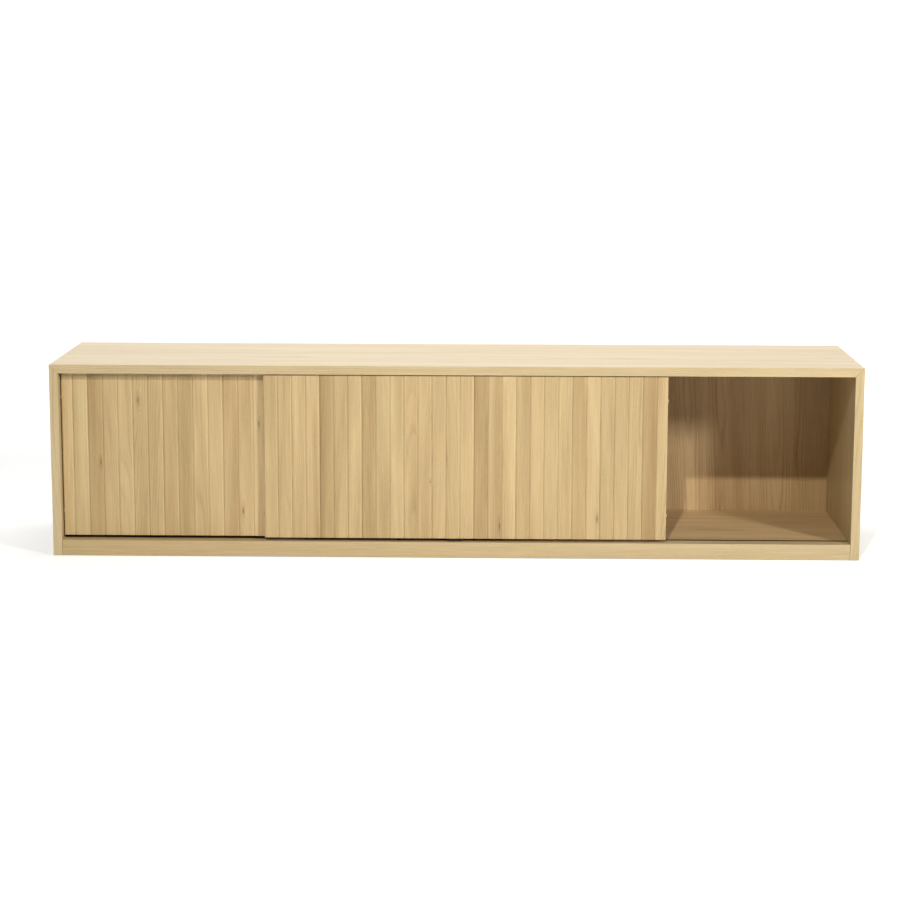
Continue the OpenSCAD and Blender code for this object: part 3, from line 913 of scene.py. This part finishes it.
def screws(node, name, body, towards, head_h, finish=steel):
    """Screws for a CAD node. towards is the sign and the axis that their heads point to."""
    sign = -1 if towards[0] == "-" else 1
    axis = LETTERS.index(towards[1])
    heading = Vector([float(i == axis) * sign for i in range(3)])
    turn = Vector([0, 0, 1]).rotation_difference(heading)
    shapes = []
    for low, high in solids(node):
        size = high - low
        head_r = size[(axis + 1) % 3] / 2
        seat = (low + high) / 2
        seat[axis] = (high[axis] - head_h) if sign > 0 else (low[axis] + head_h)
        shape = screw_shape(head_r, head_h, head_r * 0.5, size[axis] - head_h)
        shape.transform(Matrix.Rotation(chance.uniform(0, math.pi), 4, "Z"))
        shape.transform(Matrix.Translation(seat) @ turn.to_matrix().to_4x4())
        shapes.append(shape)
    group = several(shapes, name)
    group.data.shade_smooth()
    group.data.set_sharp_from_angle(angle=math.radians(40))
    finished(group, body, "screw_steel", finish, node)


screws("back_screws", "back_panel_screws", "case", "+Y", 2.2 * MM)
screws("underframe_screws", "batten_screws", "case", "-Z", 2 * MM)
screws("track_screws", "track_fixings", "case", "-Z", 1.4 * MM)
screws("channel_screws", "channel_fixings", "case", "+Z", 1.2 * MM)
screws("guide_screws", "guide_fixings", "case", "+Z", 1.5 * MM, black_steel)
screws("shoe_screws", "shoe_fixings", "rear_door", "+Y", 1.6 * MM)

# Hidden joinery keeps its CAD shape
for node, finish in (
    ("floor_dowels_left", beech),
    ("floor_dowels_right", beech),
    ("rail_dowels", beech),
    ("rail_end_dowels", beech),
    ("partition_dowels", beech),
    ("mitre_spline_left", plywood),
    ("mitre_spline_right", plywood),
):
    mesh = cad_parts[node].data
    mesh.materials.clear()
    mesh.materials.append(finish)

# ---- Studio ----

FLOOR_HALF = 40
FLOOR_T = 10 * MM
floor_outline = [(x * FLOOR_HALF, y * FLOOR_HALF) for x, y in ((-1, -1), (1, -1), (1, 1), (-1, 1))]
floor = solid(prism(floor_outline, "Z", -FLOOR_T, 0), "studio_floor")


def softbox(name, place, aim, size, watts, colour):
    """A square light that faces a point."""
    data = bpy.data.lights.new(name, "AREA")
    data.shape = "SQUARE"
    data.size = size
    data.energy = watts
    data.color = linear(colour)[:3]
    light = bpy.data.objects.new(name, data)
    light.location = place
    light.rotation_euler = (Vector(aim) - Vector(place)).to_track_quat("-Z", "Y").to_euler()
    bpy.context.scene.collection.objects.link(light)
    return light


WHITE = "ffffff"
KEY_WATTS = 186
SIDE_WATTS = 184
OVERHEAD_WATTS = 68
WALL_GLOW = 1.5
key = softbox("key_light", (-0.4, -5.0, 4.1), (0.2, 0, 0.25), 0.14, KEY_WATTS, WHITE)
# A polariser on the small lamp keeps its hot spot off the lacquer
key.visible_glossy = False
softbox("side_light", (3.88, -4.2, 2.3), (0.5, 0, 0.25), 0.6, SIDE_WATTS, WHITE)
softbox("overhead_light", (0, 0.9, 3.2), (0, 0.1, 0.2), 2.6, OVERHEAD_WATTS, WHITE)

# Painted studio floor: matt and near white. To the eye it also glows beyond the lamps' reach
NEAR_GLOW = 0.4
FAR_GLOW = 1.0
GLOW_FROM = 1.7
GLOW_TO = 3.4
paint, tree, shader = new_finish("matt floor paint", Roughness=0.9, IOR=1.45)
shader.inputs["Base Color"].default_value = linear("f1f1ef")
shader.inputs["Emission Color"].default_value = linear(WHITE)
place = add(tree, "TexCoord", {})["Object"]
away = add(tree, "VectorMath", {0: place}, operation="LENGTH")["Value"]
glow = ramp(tree, away, GLOW_FROM, GLOW_TO, NEAR_GLOW, FAR_GLOW, "SMOOTHSTEP")
seen = add(tree, "LightPath", {})["Is Camera Ray"]
tree.links.new(product(tree, glow, seen), shader.inputs["Emission Strength"])
floor.data.materials.append(paint)

# Studio walls: white to the eye and in a polish, and too far off to light the cabinet
world = bpy.data.worlds.new("studio_walls")
bpy.context.scene.world = world
world.use_nodes = True
tree = world.node_tree
lit = add(tree, "LightPath", {})["Is Diffuse Ray"]
walls = ramp(tree, lit, 0.0, 1.0, WALL_GLOW, 0.0)
tree.links.new(walls, tree.nodes["Background"].inputs["Strength"])
tree.nodes["Background"].inputs["Color"].default_value = linear(WHITE)

# ---- Camera ----

camera_data = bpy.data.cameras.new("camera")
camera_data.lens = 91.264
camera_data.sensor_width = 36
camera_data.clip_end = 200
camera = bpy.data.objects.new("camera", camera_data)
CAMERA_PLACE = (0.0974, -5.7632, 1.2217)
YAW = 0.0199
PITCH = 0.1697
ROLL = 0.0022
camera.matrix_world = (
    Matrix.Translation(CAMERA_PLACE)
    @ Matrix.Rotation(YAW, 4, "Z")
    @ Matrix.Rotation(math.pi / 2 - PITCH, 4, "X")
    @ Matrix.Rotation(ROLL, 4, "Z")
)
bpy.context.scene.collection.objects.link(camera)
bpy.context.scene.camera = camera
bpy.context.scene.view_settings.view_transform = "Standard"
